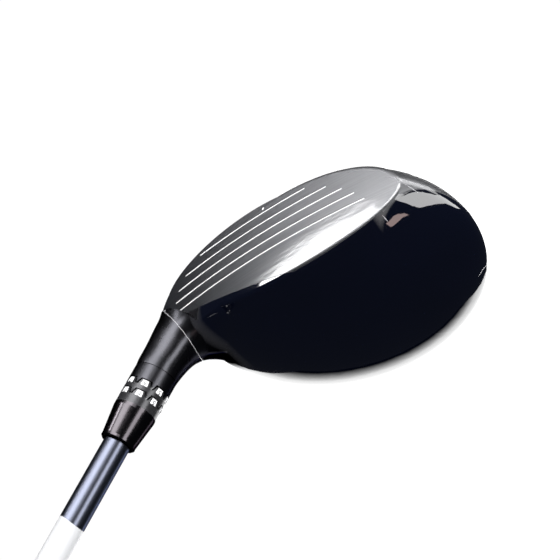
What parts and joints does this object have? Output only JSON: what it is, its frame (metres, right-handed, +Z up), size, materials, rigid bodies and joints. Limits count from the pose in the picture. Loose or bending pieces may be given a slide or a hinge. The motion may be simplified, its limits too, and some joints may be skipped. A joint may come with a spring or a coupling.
{
  "type": "fairway wood golf club",
  "caption": "Right-handed fairway wood with a gloss dark crown, grooved steel face, adjustable toothed hosel sleeve, screw-in rear sole weight, tapered shaft and rubber grip.",
  "frame": {"origin": "centre of the small flat that the sole rests on at address, below the middle of the head", "axes": "+X towards the heel, -Y the way the face looks, +Z up; the shaft leans towards +X at the lie angle"},
  "size_m": [0.6393, 0.0752, 0.9482],
  "materials": {
    "body_paint": "gloss black lacquer over cast steel",
    "face_steel": "dark brushed forged steel",
    "crown_lacquer": "deep gloss near-black navy lacquer on a composite shell",
    "bare_steel": "machined steel",
    "damping_gel": "set hot-melt adhesive",
    "satin_black": "satin black anodised",
    "bare_alloy": "machined alloy",
    "ferrule_black": "polished black",
    "shaft_paint": "metallic navy lacquer on carbon fibre",
    "plug": "cork-like moulding",
    "tape": "double-sided paper tape",
    "grip_rubber": "matt black rubber",
    "screw_metal": "turned steel",
    "weight_metal": "turned steel, satin",
    "seal_rubber": "black rubber"
  },
  "bodies": {
    "shaft_assembly": {"shaft": "shaft_paint", "shaft_tip_plug": "plug", "shaft_sleeve": "bare_alloy", "upper_cog": "satin_black", "ferrule": "ferrule_black", "ferrule_end_ring": "ferrule_black", "grip_tape": "tape", "grip": "grip_rubber", "grip_cap": "grip_rubber"},
    "head": {"head_body": "body_paint", "face_cup": "face_steel", "crown": "crown_lacquer", "weight_boss": "bare_steel", "forward_weight": "bare_steel", "damping_pad": "damping_gel", "hosel_collar": "satin_black"},
    "lower_cog": {"lower_cog": "satin_black"},
    "screw_washer": {"screw_washer": "screw_metal"},
    "hosel_screw": {"hosel_screw": "screw_metal"},
    "weight_washer": {"weight_washer": "seal_rubber"},
    "rear_weight": {"rear_weight": "weight_metal"}
  },
  "joints": [
    {"name": "head_release", "type": "slide", "parent": "shaft_assembly", "child": "head", "axis": [-0.5, 0, -0.866], "range_m": [0, 0.045]},
    {"name": "cog_slide", "type": "slide", "parent": "shaft_assembly", "child": "lower_cog", "axis": [-0.5, 0, -0.866], "range_m": [0, 0.0226]},
    {"name": "screw_travel", "type": "slide", "parent": "head", "child": "screw_washer", "axis": [-0.5, 0, -0.866], "range_m": [0, 0.0064]},
    {"name": "hosel_screw_turn", "type": "hinge", "parent": "screw_washer", "child": "hosel_screw", "pos_m": [0.039, -0.0181, 0.00987], "axis": [-0.5, 0, -0.866], "range_deg": [0, 2880]},
    {"name": "weight_travel", "type": "slide", "parent": "head", "child": "weight_washer", "axis": [0, 0.3256, -0.9455], "range_m": [0, 0.007]},
    {"name": "weight_turn", "type": "hinge", "parent": "weight_washer", "child": "rear_weight", "pos_m": [0, 0.0215, 0.0031], "axis": [0, 0.3256, -0.9455], "range_deg": [0, 2520]}
  ],
  "couplings": [
    {"joint": "cog_slide", "follows": "head_release", "ratio": 0.5},
    {"joint": "hosel_screw_turn", "follows": "screw_travel", "rad_per_m": 7854},
    {"joint": "weight_turn", "follows": "weight_travel", "rad_per_m": 6283.2}
  ]
}
